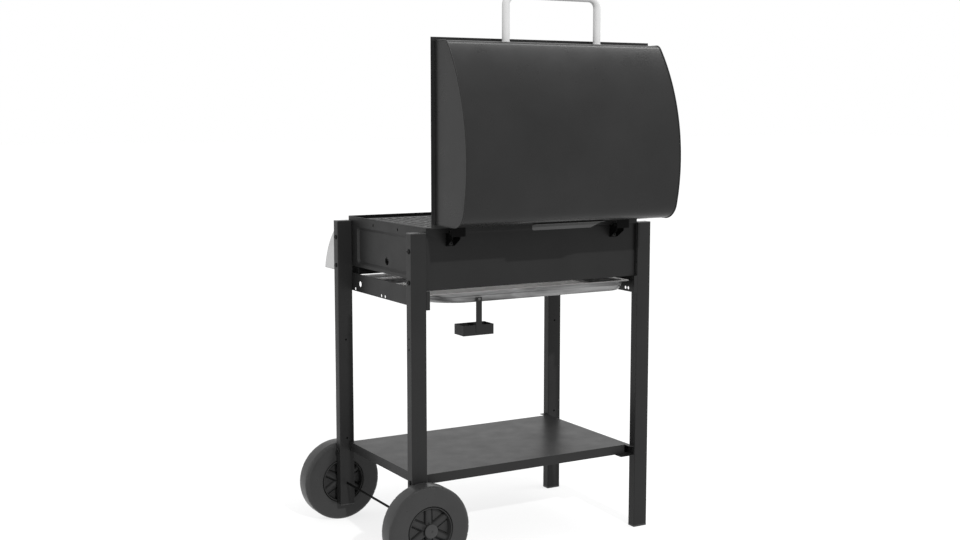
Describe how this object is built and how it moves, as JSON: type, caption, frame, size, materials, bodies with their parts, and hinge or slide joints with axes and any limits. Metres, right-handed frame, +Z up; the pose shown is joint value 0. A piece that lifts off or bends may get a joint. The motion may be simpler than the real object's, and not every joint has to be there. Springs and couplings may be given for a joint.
{
  "type": "barrel charcoal grill",
  "caption": "Barrel charcoal grill with a hinged curved lid, a sliding ash tray, lift-out grates and a lower shelf on a leg frame with two wheels.",
  "frame": {"origin": "on the floor under the middle of the rear left foot cap", "axes": "+X along the grill from the foot end to the wheel end, -Y to the front, +Z up"},
  "size_m": [0.7768, 0.6776, 1.3555],
  "materials": {
    "leg_paint": "satin powder coat",
    "body_paint": "heat-resistant satin paint",
    "lid_paint": "semi-gloss enamel",
    "tab_paint": "dark grey heat-resistant paint",
    "shelf_paint": "satin powder coat",
    "silver_paint": "silver paint",
    "handle_metal": "satin",
    "hinge_steel": "black",
    "fastener_steel": "zinc plated",
    "tray_steel": "galvanised sheet",
    "grate_iron": "enamelled",
    "cap_plastic": "moulded",
    "tyre_plastic": "moulded, matt",
    "hub_plastic": "moulded"
  },
  "bodies": {
    "frame": {"leg_front_right": "leg_paint", "leg_rear_right": "leg_paint", "leg_front_left": "leg_paint", "leg_rear_left": "leg_paint", "leg_top_caps": "cap_plastic", "foot_caps": "cap_plastic", "front_panel": "body_paint", "rear_panel": "body_paint", "end_panel_right": "body_paint", "end_panel_left": "body_paint", "cross_panel_right": "body_paint", "cross_panel_left": "body_paint", "grate_rail_front": "body_paint", "grate_rail_rear": "body_paint", "charcoal_rail_front": "body_paint", "charcoal_rail_rear": "body_paint", "front_fascia": "silver_paint", "fascia_end_right": "silver_paint", "fascia_end_left": "silver_paint", "lower_shelf": "shelf_paint", "shelf_end_bar": "shelf_paint", "shelf_bracket_front": "shelf_paint", "shelf_bracket_rear": "shelf_paint", "body_bolts": "fastener_steel", "shelf_bolts": "fastener_steel", "axle": "hinge_steel", "axle_washers": "fastener_steel", "axle_caps": "cap_plastic", "hinge_bracket_right": "hinge_steel", "hinge_bracket_left": "hinge_steel", "hinge_pins": "fastener_steel", "hinge_screws": "fastener_steel"},
    "lid": {"lid_shell": "lid_paint", "lid_end_cap_right": "lid_paint", "lid_end_cap_left": "lid_paint", "lid_handle": "handle_metal", "handle_screws": "fastener_steel", "hinge_leaf_right": "hinge_steel", "hinge_leaf_left": "hinge_steel", "lid_rear_tab": "tab_paint"},
    "tray": {"ash_tray": "tray_steel"},
    "cup": {"drip_cup": "leg_paint", "cup_strap": "leg_paint"},
    "grate_right": {"cooking_grate_right": "grate_iron"},
    "grate_left": {"cooking_grate_left": "grate_iron"},
    "coal_grate": {"charcoal_grate": "grate_iron"},
    "front_wheel": {"wheel_front_tyre": "tyre_plastic", "wheel_front_hub": "hub_plastic", "wheel_front_bush": "hub_plastic"},
    "rear_wheel": {"wheel_rear_tyre": "tyre_plastic", "wheel_rear_hub": "hub_plastic", "wheel_rear_bush": "hub_plastic"}
  },
  "joints": [
    {"name": "lid_hinge", "type": "hinge", "parent": "frame", "child": "lid", "pos_m": [0.324, 0.0252, 0.797], "axis": [1, 0, 0], "range_deg": [0, 90]},
    {"name": "tray_slide", "type": "slide", "parent": "frame", "child": "tray", "axis": [0, -1, 0], "range_m": [0, 0.38]},
    {"name": "cup_lift", "type": "slide", "parent": "tray", "child": "cup", "axis": [0, 0, 1], "range_m": [0, 0.0022]},
    {"name": "grate_right_lift", "type": "slide", "parent": "frame", "child": "grate_right", "axis": [0, 0, 1], "range_m": [0, 0.06]},
    {"name": "grate_left_lift", "type": "slide", "parent": "frame", "child": "grate_left", "axis": [0, 0, 1], "range_m": [0, 0.06]},
    {"name": "coal_grate_lift", "type": "slide", "parent": "frame", "child": "coal_grate", "axis": [0, 0, 1], "range_m": [0, 0.05]},
    {"name": "front_wheel_spin", "type": "hinge", "parent": "frame", "child": "front_wheel", "pos_m": [0.648, -0.4561, 0.1053], "axis": [0, 1, 0], "continuous": true},
    {"name": "rear_wheel_spin", "type": "hinge", "parent": "frame", "child": "rear_wheel", "pos_m": [0.648, 0.0415, 0.1053], "axis": [0, 1, 0], "continuous": true}
  ]
}
